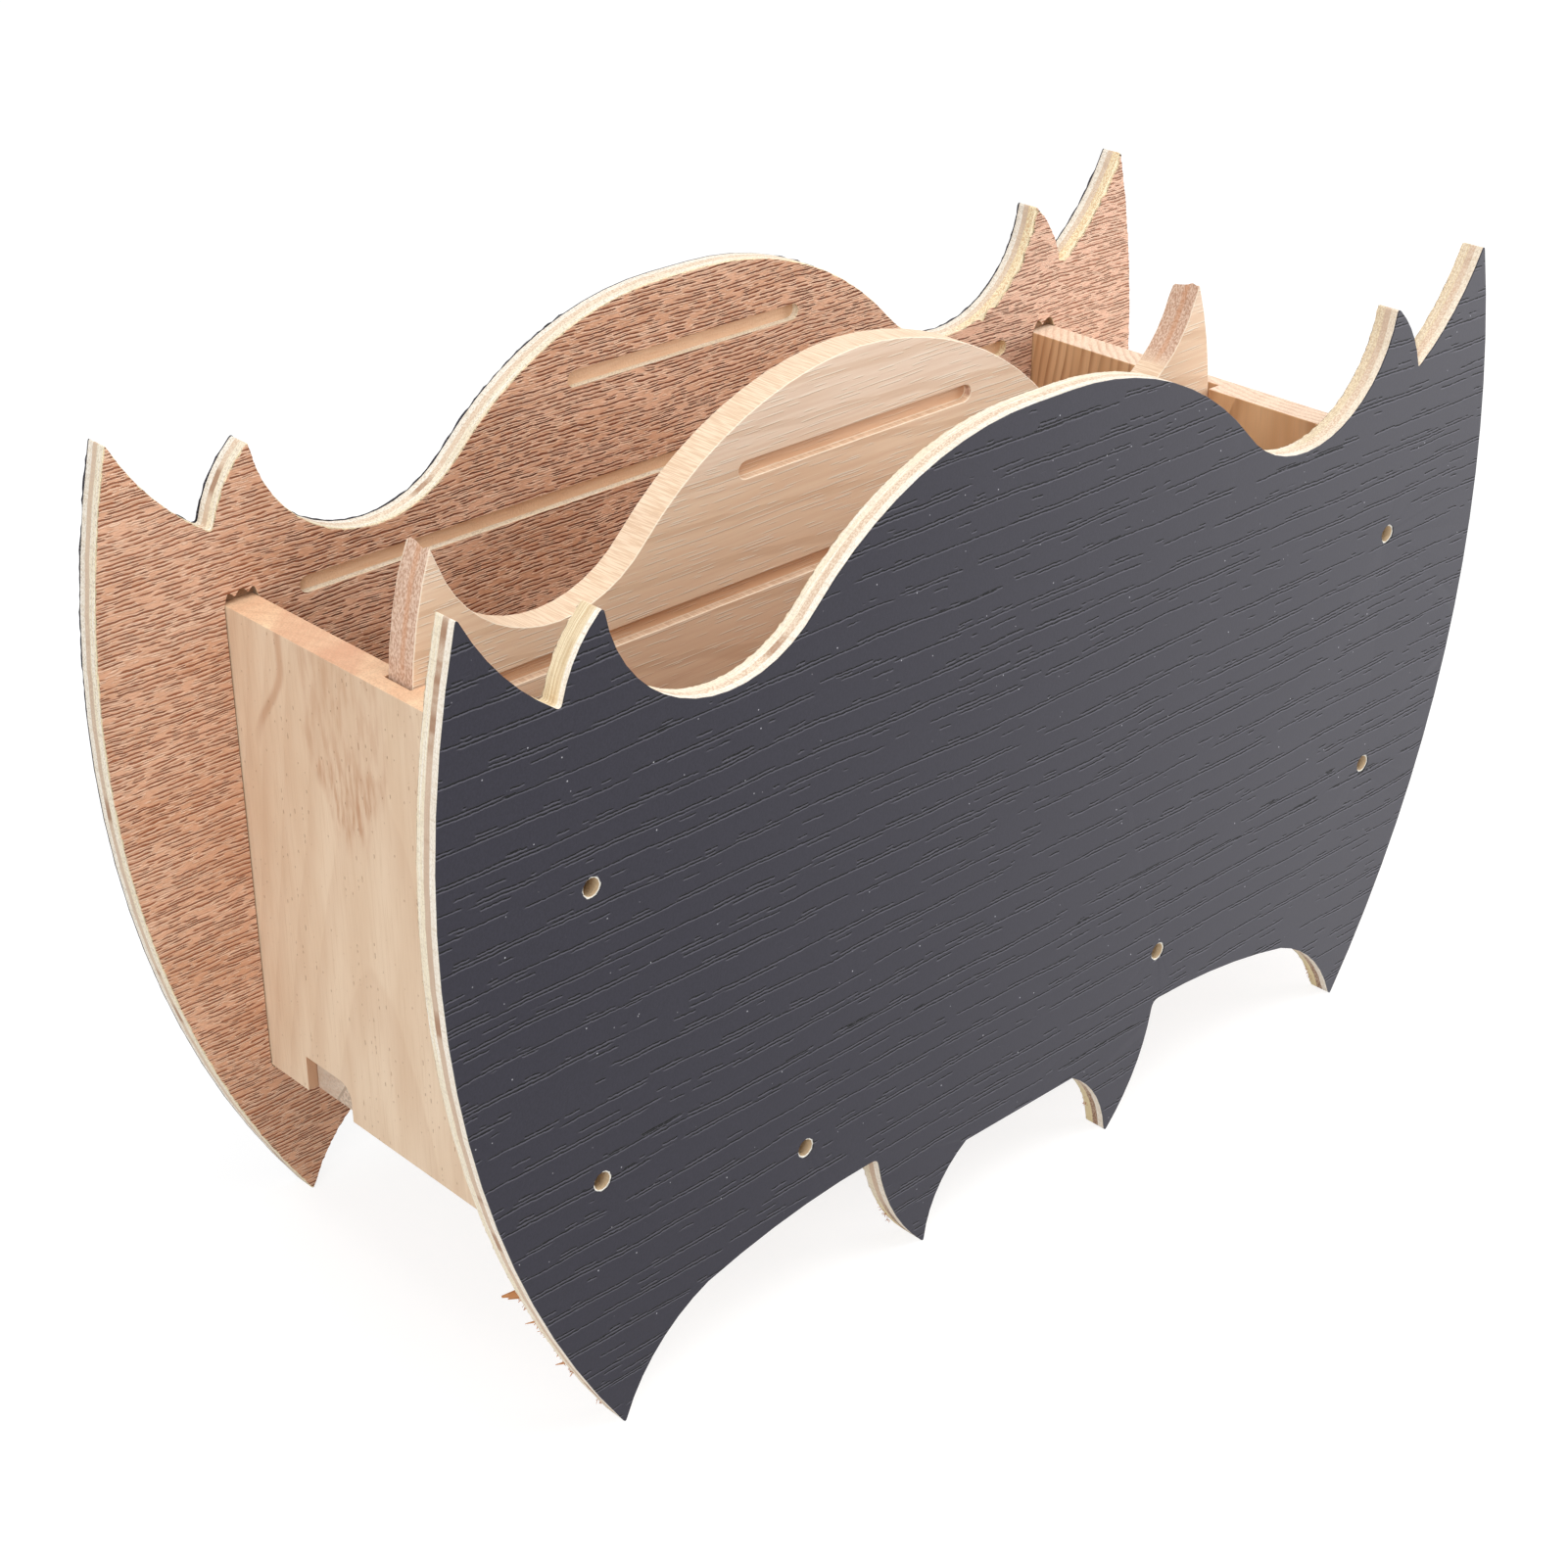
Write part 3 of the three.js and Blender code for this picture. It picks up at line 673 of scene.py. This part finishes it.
# %% [markdown]
# ## From packed boards to real ones
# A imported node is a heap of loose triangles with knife-sharp corners. A merged copy joins
# them into whole flat faces, and a narrow bevel along every corner catches the light as a
# sanded arris does. The copy then stands for the node.


# %% Merge, ease and add a board
def merged_copy(node):
    """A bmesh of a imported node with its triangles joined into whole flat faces."""
    shape = bmesh.new()
    shape.from_mesh(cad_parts[node].data)
    bmesh.ops.remove_doubles(shape, verts=shape.verts, dist=0.002 * mm)
    bmesh.ops.dissolve_limit(
        shape, angle_limit=math.radians(0.3), use_dissolve_boundaries=False,
        verts=shape.verts, edges=shape.edges, delimit=set(),
    )
    return shape


def corners(shape, least=30):
    """The edges where two faces turn by more than the least angle, in degrees."""
    return [
        edge for edge in shape.edges
        if len(edge.link_faces) == 2 and edge.calc_face_angle() > math.radians(least)
    ]


def ease(shape, edges, width):
    bmesh.ops.bevel(
        shape, geom=edges, offset=width, offset_type="OFFSET", segments=2, profile=0.5,
        material=-1, affect="EDGES", clamp_overlap=True,
    )


def add_piece(shape, name, body, slot, *stands_for, finish=None):
    """Makes an object of a bmesh, hides the parts it stands for and hangs it on its body."""
    mesh = bpy.data.meshes.new(name)
    shape.to_mesh(mesh)
    shape.free()
    mesh.polygons.foreach_set("use_smooth", [True] * len(mesh.polygons))
    mesh.set_sharp_from_angle(angle=math.radians(50))
    mesh.materials.append(finish or finishes[slot])
    piece = bpy.data.objects.new(name, mesh)
    bpy.context.scene.collection.objects.link(piece)
    even = piece.modifiers.new("even_shading", "WEIGHTED_NORMAL")
    even.keep_sharp = True
    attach(piece, body)
    if stands_for:
        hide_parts(*stands_for)
    print(name, len(mesh.polygons), "faces")
    return piece


# %% Walls and roof board
board_ease = 0.25 * mm
for node in ("left_side_wall", "right_side_wall"):
    board = merged_copy(node)
    ease(board, corners(board), board_ease)
    add_piece(board, node + "_shape", "box", "pine", node)

board = merged_copy("roof_board")
ease(board, corners(board), board_ease)
add_piece(board, "roof_shape", "box", "pine", "roof_board", finish=roof_pine)

# %% [markdown]
# ## Ragged rims
# Each layer of a panel is sawn and drilled, and each tears in its own way. To roughen a rim
# it has to be found first: it is a closed loop of corner edges that lie on one face of the
# layer. The outline is the loop that spans most, and the others are holes, grooves and
# pockets. More points along a loop let noise move the rim in and out, and a point is never
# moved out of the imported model's own box. The flat face inside the rims is then made again,
# because the old one would fold where its rim has moved.


# %% Find and roughen the rims of a layer
def lies_at(item, y):
    return all(abs(vert.co.y - y) < 0.01 * mm for vert in item.verts)


def rims(shape, y):
    """The closed loops of corner edges on the plane at y, the widest first."""
    left = {edge for edge in corners(shape) if lies_at(edge, y)}
    loops = []
    while left:
        loop, ahead = set(), [left.pop()]
        while ahead:
            edge = ahead.pop()
            loop.add(edge)
            touching = {e for v in edge.verts for e in v.link_edges} & left
            left -= touching
            ahead += touching
        loops.append(loop)
    return sorted(loops, key=lambda loop: -width_of(loop))


def width_of(loop):
    places = [v.co.x for edge in loop for v in edge.verts]
    return max(places) - min(places)


def middle_of(loop):
    places = [v.co for edge in loop for v in edge.verts]
    return sum(places, Vector()) / len(places)


def add_points(shape, edges, spacing):
    """Cuts long edges into pieces of about the spacing."""
    by_cuts = {}
    for edge in edges:
        by_cuts.setdefault(round(edge.calc_length() / spacing) - 1, []).append(edge)
    for cuts, group in by_cuts.items():
        if cuts > 0:
            bmesh.ops.subdivide_edges(shape, edges=group, cuts=cuts)


def push(shape, verts, amount):
    """Moves points of a rim outwards in the layer's plane, by an amount for each."""
    shape.normal_update()
    moves = {}
    for vert in verts:
        out = Vector((vert.normal.x, 0, vert.normal.z))
        if out.length > 0:
            moves[vert] = vert.co + out.normalized() * amount(vert.co, out.normalized())
    for vert, place in moves.items():
        vert.co = Vector(
            min(max(place[axis], cad_low[axis]), cad_high[axis]) for axis in range(3)
        )


def wobble(place, size, seed=0):
    """Smooth noise from 0 to 1 in the panels' plane, one size to a blob."""
    spot = Vector((place.x, 0, place.z)) / size + Vector((seed, seed, 0))
    return min(1, max(0, 0.5 + noise.noise(spot)))


def verts_of(loop):
    return {vert for edge in loop for vert in edge.verts}


def refill(shape, y, facing):
    """Makes the flat face at y again, as triangles that fit its rims where they are now."""
    faces = [face for face in shape.faces if lies_at(face, y)]
    bmesh.ops.delete(shape, geom=faces, context="FACES_ONLY")
    bmesh.ops.delete(shape, geom=[edge for edge in shape.edges if edge.is_wire], context="EDGES")
    rim = [edge for edge in shape.edges if edge.is_boundary and lies_at(edge, y)]
    bmesh.ops.triangle_fill(
        shape, edges=rim, normal=(0, facing, 0), use_beauty=True, use_dissolve=False
    )
    bmesh.ops.recalc_face_normals(shape, faces=shape.faces)
    loose = [edge for edge in shape.edges if not edge.is_manifold]
    print("refilled at", round(y / mm, 1), "mm, open edges:", len(loose))


# %% [markdown]
# ## Film with chipped holes
# The drill lifted the film round each hole, so a ragged ring of pale wood shows. Along the
# outline of the back panel the film stands a little past the wood in a wavy burr, because
# the saw tore it there. The burr is slight low down, and the wing tips have none.

# %% Both films
outline_spacing = 1.2 * mm
hole_spacing = 0.26 * mm
hole_chip = 0.5 * mm
burr = 0.5 * mm
burr_low, burr_high = 120 * mm, 165 * mm
wing_tip_low = 190 * mm


def film_chip(place, out):
    """How far the film has drawn back round a hole, as a negative amount."""
    return -hole_chip * (0.5 + 0.4 * wobble(place, 0.7 * mm, 3))


def film_burr(place, out):
    """How far the film stands past the wood along the outline."""
    if place.z > wing_tip_low:
        return 0
    share = min(1, max(0.1, (place.z - burr_low) / (burr_high - burr_low)))
    return burr * share * (wobble(place, 2.2 * mm, 8) - 0.2)


def holes_of(shape, levels):
    """The rims inside the outline, on the planes at some levels."""
    return [loop for y in levels for loop in rims(shape, y)[1:]]


for side in ("front", "back"):
    node = side + "_panel_film"
    film = merged_copy(node)
    low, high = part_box(node)
    levels = (low.y, high.y)
    add_points(film, {edge for y in levels for edge in rims(film, y)[0]}, outline_spacing)
    add_points(film, {edge for hole in holes_of(film, levels) for edge in hole}, hole_spacing)
    push(film, {v for hole in holes_of(film, levels) for v in verts_of(hole)}, film_chip)
    if side == "back":
        push(film, {v for y in levels for v in verts_of(rims(film, y)[0])}, film_burr)
    refill(film, low.y, -1)
    refill(film, high.y, 1)
    add_piece(film, side + "_film_shape", "box", "black_film", node)

# %% [markdown]
# ## Plywood
# The plywood keeps its outline and its round holes, with a very narrow bevel along their
# rims. Over each wall's end its pocket is torn into scallops, down to the pocket's floor. A
# pocket is told from a screw hole by its width, and it lies near the ends of the panel.

# %% Both plywood cores
wall_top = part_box("left_side_wall")[1].z
pocket_start = 119 * mm
pocket_middle_least = 122 * mm
pocket_width_least = 6 * mm
shallow, deep = 0.5 * mm, 3 * mm
scallop_width = 3.9 * mm
scallop_height = 1.6 * mm
scallop_spacing = 0.35 * mm
ply_ease = 0.08 * mm


def tear_pockets(shape, levels):
    """Tears the upper rims of the wall pockets into scallops."""
    pockets = [
        loop for loop in holes_of(shape, levels)
        if abs(middle_of(loop).x) > pocket_middle_least and width_of(loop) > pocket_width_least
    ]
    tops = {edge for loop in pockets for edge in loop if middle_of([edge]).z > wall_top}
    add_points(shape, tops, scallop_spacing)
    for vert in {vert for loop in holes_of(shape, levels) for vert in verts_of(loop)}:
        above = vert.co.z - wall_top
        if above > 0 and abs(vert.co.x) > pocket_start:
            uneven = 1.2 * wobble(vert.co, 6 * mm, 12)
            arch = abs(math.sin(math.pi * vert.co.x / scallop_width + uneven))
            vert.co.z += scallop_height * min(1, above / mm) * (0.1 + 0.9 * arch)


for side, facing in (("front", 1), ("back", -1)):
    node = side + "_panel_ply"
    ply = merged_copy(node)
    low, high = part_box(node)
    inner = high.y if side == "front" else low.y
    pocket_floors = {
        round(vert.co.y, 6) for vert in ply.verts
        if shallow < abs(vert.co.y - inner) < deep and abs(vert.co.x) > pocket_start
    }
    levels = [inner, *pocket_floors]
    tear_pockets(ply, levels)
    for level in levels:
        refill(ply, level, facing)
    ease(ply, corners(ply, least=50), ply_ease)
    add_piece(ply, side + "_ply_shape", "box", "plywood", node)

# %% [markdown]
# ## Torn veneer
# The router tore the veneer above each wall's end, which leaves two or three scallops with
# a gap behind them, painted dark as shade in the plywood. The saw chipped it along the
# outline, most of all on the edges that face left at the right-hand ear and wing of the back
# panel, where a strip of bare plywood shows.


# %% Both veneers
veneer_spacing = 0.8 * mm
fine_chip = 0.35 * mm
deep_chip = 1.5 * mm
right_ear_x, right_ear_z = 90 * mm, 140 * mm
leftward = -0.35


def veneer_chip(place, out):
    """How far the sawn veneer has broken back from the outline, as a negative amount."""
    chip = fine_chip * wobble(place, 1.1 * mm, 5)
    right_ear = place.x > right_ear_x and place.z > right_ear_z
    if place.y > 0 and right_ear and out.x < leftward:
        chip += deep_chip * wobble(place, 2.2 * mm, 9)
    return -chip


for side in ("front", "back"):
    node = side + "_panel_veneer"
    veneer = merged_copy(node)
    low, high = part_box(node)
    levels = (low.y, high.y)
    add_points(veneer, {edge for y in levels for edge in rims(veneer, y)[0]}, veneer_spacing)
    push(veneer, {v for y in levels for v in verts_of(rims(veneer, y)[0])}, veneer_chip)
    tear_pockets(veneer, levels)
    refill(veneer, low.y, -1)
    refill(veneer, high.y, 1)
    add_piece(veneer, side + "_veneer_shape", "box", "red_veneer", node)

# %% [markdown]
# ## The partition
# The partition slides in the dados of the walls. Its horns were sanded by hand: each tip
# falls towards the back and is a little ragged, the left one with a dip near the front. The
# horn's curve ends in points that lie close together, so those are merged before the bevel.
# Cuts through the thickness then add points along the tips, and each point sinks by an
# amount that depends on its share of the thickness, from 0 at the front to 1 at the back.

# %% Partition
horn_shares = (0, 0.12, 0.27, 0.44, 0.62, 0.78, 0.9, 1)
left_horn_sinks = (0.1, 0, 0.9, 0.45, 0, 0.15, 0.6, 1.3)
right_horn_sinks = (0.1, 0.3, 0, 0.7, 1.1, 1.4, 1.5, 2.2)
horn_start = 105 * mm
horn_low = 175 * mm
horn_full = 178 * mm
tip_merge = 0.7 * mm
partition_ease = 0.35 * mm


def horn_verts(shape):
    return [v for v in shape.verts if abs(v.co.x) > horn_start and v.co.z > horn_low]


def sink_at(share, sinks):
    """How far a tip has sunk at a share of the thickness, in millimetres."""
    for start, end, first, last in zip(horn_shares, horn_shares[1:], sinks, sinks[1:]):
        if share <= end:
            return first + (last - first) * max(0, share - start) / (end - start)
    return sinks[-1]


partition = merged_copy("roost_partition")
low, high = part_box("roost_partition")
bmesh.ops.remove_doubles(partition, verts=horn_verts(partition), dist=tip_merge)
ease(partition, corners(partition), partition_ease)
for share in horn_shares[1:-1]:
    bmesh.ops.bisect_plane(
        partition, geom=partition.verts[:] + partition.edges[:] + partition.faces[:],
        plane_co=low.lerp(high, share), plane_no=(0, 1, 0), dist=0.001 * mm,
    )
for vert in horn_verts(partition):
    sinks = left_horn_sinks if vert.co.x < 0 else right_horn_sinks
    share = (vert.co.y - low.y) / (high.y - low.y)
    weight = min(1, (vert.co.z - horn_low) / (horn_full - horn_low))
    vert.co.z -= weight * sink_at(share, sinks) * mm
add_piece(partition, "partition_shape", "partition", "beech", "roost_partition")

# %% [markdown]
# ## Screws
# A screw is a lathe shape, so half its outline is spun round its axis. The thread is a small
# triangle spun the same way while it travels along the axis. The cross recess is drawn on
# the flat head by cutting it with planes, and then pushed in.

# %% Screw sizes
head_radius = 2.8 * mm
head_height = 1.6 * mm
rim_height = 0.15 * mm
rim_slope = 0.1 * mm
core_radius = 1.1 * mm
thread_radius = 1.5 * mm
thread_half = 0.25 * mm
thread_pitch = 1.3 * mm
point_length = 4 * mm
arm_half = 1.6 * mm
arm_half_width = 0.45 * mm
recess_depth = 1.1 * mm
recess_taper = 0.6


# %% Turn a screw
def turned_screw(low, high):
    """A countersunk wood screw along Y, head at the high end, in its node's space."""
    middle = (low + high) / 2
    foot = Vector((middle.x, low.y, middle.z))
    top = high.y - low.y
    shape = bmesh.new()
    half_outline = [
        (0, 0), (core_radius * 0.35, point_length * 0.2), (core_radius, point_length),
        (core_radius, top - head_height), (head_radius, top - rim_height),
        (head_radius - rim_slope, top),
    ]
    chain = [shape.verts.new(foot + Vector((r, y, 0))) for r, y in half_outline]
    edges = [shape.edges.new(pair) for pair in zip(chain, chain[1:])]
    bmesh.ops.spin(
        shape, geom=chain + edges, cent=foot, axis=(0, 1, 0), dvec=(0, 0, 0),
        angle=2 * math.pi, steps=32, use_merge=True, use_duplicate=False,
    )
    bmesh.ops.remove_doubles(shape, verts=shape.verts, dist=0.001 * mm)
    open_edges = [e for e in shape.edges if e.is_boundary]
    bmesh.ops.edgeloop_fill(shape, edges=open_edges)
    bmesh.ops.recalc_face_normals(shape, faces=shape.faces)
    push_in_cross(shape, foot + Vector((0, top, 0)))
    wind_thread(shape, foot, top)
    return shape


def push_in_cross(shape, centre):
    """Cuts the flat head into strips and pushes the cross-shaped ones in."""
    across, upright = Vector((1, 0, 0)), Vector((0, 0, 1))
    for axis in (across, upright):
        for offset in (-arm_half, -arm_half_width, arm_half_width, arm_half):
            head = [f for f in shape.faces if f.normal.y > 0.99]
            edges = {e for f in head for e in f.edges}
            verts = {v for f in head for v in f.verts}
            bmesh.ops.bisect_plane(
                shape, geom=[*head, *edges, *verts], plane_co=centre + axis * offset,
                plane_no=axis, dist=0.001 * mm,
            )
    cross = []
    for face in [f for f in shape.faces if f.normal.y > 0.99]:
        place = face.calc_center_median() - centre
        near, far = sorted((abs(place.x), abs(place.z)))
        if near < arm_half_width and far < arm_half:
            cross.append(face)
    pushed = bmesh.ops.extrude_face_region(shape, geom=cross)
    bmesh.ops.delete(shape, geom=cross, context="FACES")
    floor_verts = [item for item in pushed["geom"] if isinstance(item, bmesh.types.BMVert)]
    for vert in floor_verts:
        vert.co = centre + (vert.co - centre) * recess_taper - Vector((0, recess_depth, 0))


def wind_thread(shape, foot, top):
    """Winds the thread round the core, from the point to the head."""
    steps_per_turn = 16
    turns = (top - head_height - point_length) / thread_pitch
    start = foot + Vector((0, point_length * 0.8, 0))
    inner = core_radius * 0.8
    profile = [(inner, -thread_half), (thread_radius, 0), (inner, thread_half)]
    verts = [shape.verts.new(start + Vector((r, y, 0))) for r, y in profile]
    face = shape.faces.new(verts)
    bmesh.ops.spin(
        shape, geom=[face], cent=start, axis=(0, 1, 0),
        dvec=(0, thread_pitch / steps_per_turn, 0), angle=2 * math.pi * turns,
        steps=round(turns * steps_per_turn), use_duplicate=False,
    )


screw_nodes = [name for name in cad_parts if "screw" in name]
for node in screw_nodes:
    screw = turned_screw(*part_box(node))
    bmesh.ops.recalc_face_normals(screw, faces=screw.faces)
    add_piece(screw, node + "_shape", "box", "zinc_screw", node)


# %% [markdown]
# ## Splinters and fuzz
# The saw left a few splinters on the rear rim of the front panel, low on its left, and fuzz
# where it cut across the fibres. A splinter is a tapered cone that starts inside the wood. A
# fibre is a thin triangle spun through part of a turn, so that it curls.


# %% Splinters and fibres
def splinter(shape, root, direction, length, thick):
    cone = bmesh.ops.create_cone(
        shape, segments=5, radius1=thick / 2, radius2=thick / 9, depth=length, cap_ends=True
    )
    turn = Vector((0, 0, 1)).rotation_difference(direction).to_matrix().to_4x4()
    flatten = Matrix.Diagonal((1, 0.45, 1, 1))
    place = Matrix.Translation(root + direction.normalized() * length * 0.4)
    bmesh.ops.transform(shape, verts=cone["verts"], matrix=place @ turn @ flatten)


def fibre(shape, root, direction, length, thick, rng):
    """A curled hair of wood."""
    ring = bmesh.ops.create_circle(shape, segments=3, radius=thick / 2, cap_ends=True)
    turn = Vector((0, 0, 1)).rotation_difference(direction).to_matrix().to_4x4()
    bmesh.ops.transform(shape, verts=ring["verts"], matrix=Matrix.Translation(root) @ turn)
    bend = rng.uniform(0.5, 1.5)
    any_way = Vector((rng.gauss(0, 1), rng.gauss(0, 1), rng.gauss(0, 1)))
    beside = direction.cross(any_way).normalized()
    axis = direction.cross(beside).normalized()
    faces = list({f for v in ring["verts"] for f in v.link_faces})
    bmesh.ops.spin(
        shape, geom=faces, cent=root + beside * (length / bend), axis=axis, dvec=(0, 0, 0),
        angle=bend, steps=5, use_duplicate=False,
    )


# %% Torn wood
torn_wood = Finish("torn_wood")
torn_streak = torn_wood.cloud(torn_wood.x / 2, torn_wood.y / 2, torn_wood.z / 0.4)
torn_tone = torn_wood.mix(torn_streak, paint(158, 96, 52), paint(214, 156, 104))
torn_wood.wear(Base_Color=torn_tone, Roughness=0.8)

# %% [markdown]
# Each splinter is given by its place in the panel's plane, its length and its thickness. Each
# patch of fuzz is given by its middle, the number of fibres and how tall it is. The outline
# leans there, so a fibre that is higher also stands further left. All are in millimetres.

# %% Rough spots of the front panel
splinters = [
    (-141.3, 41.8, 4.4, 2.2), (-140.9, 40.8, 3.4, 1.3),
    (-137.9, 32.7, 2.6, 0.6), (-130.8, 18.2, 2.6, 0.7),
]
fuzz = [
    (-141, 40, 14, 5), (-137.2, 31, 16, 6), (-131.3, 19, 18, 8), (-38, 8, 24, 6),
    (30.9, 5, 24, 6), (117.6, 6, 26, 7), (-122.6, 3.5, 6, 1.5),
]
splinter_direction = Vector((-0.85, 0.5, -0.1)).normalized()
outline_lean = -0.45

rng = random.Random(5)
rear_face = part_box("front_panel_veneer")[1].y
rough = bmesh.new()
for x, z, length, thick in splinters:
    root = Vector((x * mm, rear_face - 0.5 * mm, z * mm))
    splinter(rough, root, splinter_direction, length * mm, thick * mm)
for x, z, count, tall in fuzz:
    for _ in range(count):
        rise = rng.uniform(-0.5, 0.5) * tall
        across = (x + outline_lean * rise) * mm
        root = Vector((across, rear_face - rng.uniform(0, 1.2) * mm, (z + rise) * mm))
        out = Vector((rng.uniform(-1, -0.2), rng.uniform(-0.3, 0.6), rng.uniform(-1, 0.2)))
        length, thick = rng.uniform(0.4, 1.3) * mm, rng.uniform(0.08, 0.2) * mm
        fibre(rough, root, out.normalized(), length, thick, rng)
add_piece(rough, "front_splinters", "box", "plywood", finish=torn_wood.material)

# %% [markdown]
# ## Floor, room and lamps
# The floor is white to the camera and to anything that mirrors it, and a plain pale floor to
# the light that bounces about. It keeps a faint shadow, so that the box stands on something.
# The room is white where it is seen and dimmer as a light. Three square lamps add the rest.

# %% Floor
floor_half = 3.0
floor_shape = bmesh.new()
bmesh.ops.create_grid(floor_shape, x_segments=1, y_segments=1, size=floor_half)
floor_mesh = bpy.data.meshes.new("floor")
floor_shape.to_mesh(floor_mesh)
floor_shape.free()
floor = bpy.data.objects.new("floor", floor_mesh)
bpy.context.scene.collection.objects.link(floor)
floor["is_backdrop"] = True


# %% Floor finish
def is_seen(finish):
    """1 for rays from the camera and rays that a shiny or clear surface sends on."""
    kinds = ("Is Camera Ray", "Is Glossy Ray", "Is Transmission Ray")
    camera_ray, glossy_ray, clear_ray = (
        finish.node("ShaderNodeLightPath", {}, {}, kind) for kind in kinds
    )
    return camera_ray.most(glossy_ray).most(clear_ray)


floor_finish = Finish("floor")
plain = floor_finish.node("ShaderNodeBsdfDiffuse", {}, {"Color": (0.75, 0.75, 0.75, 1)})
glow = floor_finish.node("ShaderNodeEmission", {}, {"Color": (1, 1, 1, 1), "Strength": 0.8})
faint = floor_finish.node("ShaderNodeBsdfDiffuse", {}, {"Color": (0.28, 0.28, 0.28, 1)})
bright = floor_finish.node("ShaderNodeAddShader", {}, {0: glow, 1: faint})
either = {0: is_seen(floor_finish), 1: plain, 2: bright}
surface = floor_finish.node("ShaderNodeMixShader", {}, either)
output = floor_finish.tree.nodes["Material Output"]
floor_finish.tree.links.new(surface.socket, output.inputs["Surface"])
floor.data.materials.append(floor_finish.material)

# %% Room
room_light, room_seen = 0.55, 1.0
room = bpy.data.worlds.new("room")
room.use_nodes = True
bpy.context.scene.world = room
links, nodes = room.node_tree.links, room.node_tree.nodes
rays = nodes.new("ShaderNodeLightPath")
seen = nodes.new("ShaderNodeMath")
seen.operation = "MAXIMUM"
links.new(rays.outputs["Is Camera Ray"], seen.inputs[0])
links.new(rays.outputs["Is Glossy Ray"], seen.inputs[1])
level = nodes.new("ShaderNodeMapRange")
level.inputs["To Min"].default_value = room_light
level.inputs["To Max"].default_value = room_seen
links.new(seen.outputs[0], level.inputs["Value"])
links.new(level.outputs["Result"], nodes["Background"].inputs["Strength"])
nodes["Background"].inputs["Color"].default_value = (1, 1, 1, 1)


# %% Lamps
def softbox(name, place, side, watts):
    """A square lamp that faces the middle of the box."""
    lamp = bpy.data.lights.new(name, "AREA")
    lamp.shape = "SQUARE"
    lamp.size = side
    lamp.energy = watts
    made = bpy.data.objects.new(name, lamp)
    bpy.context.scene.collection.objects.link(made)
    made.location = Vector(place)
    made.rotation_mode = "QUATERNION"
    made.rotation_quaternion = (Vector((0, 0, 0.1)) - made.location).to_track_quat("-Z", "Y")


softbox("over_box", place=(0.1, -0.35, 1.7), side=1.1, watts=15)
softbox("left_front", place=(-1.3, -0.8, 0.9), side=0.9, watts=10)
softbox("right_front", place=(1.6, -0.95, 0.35), side=0.9, watts=19)

bpy.context.scene.view_settings.view_transform = "Standard"
low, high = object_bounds()
print("visual size in mm:", [round(side / mm, 1) for side in high - low])
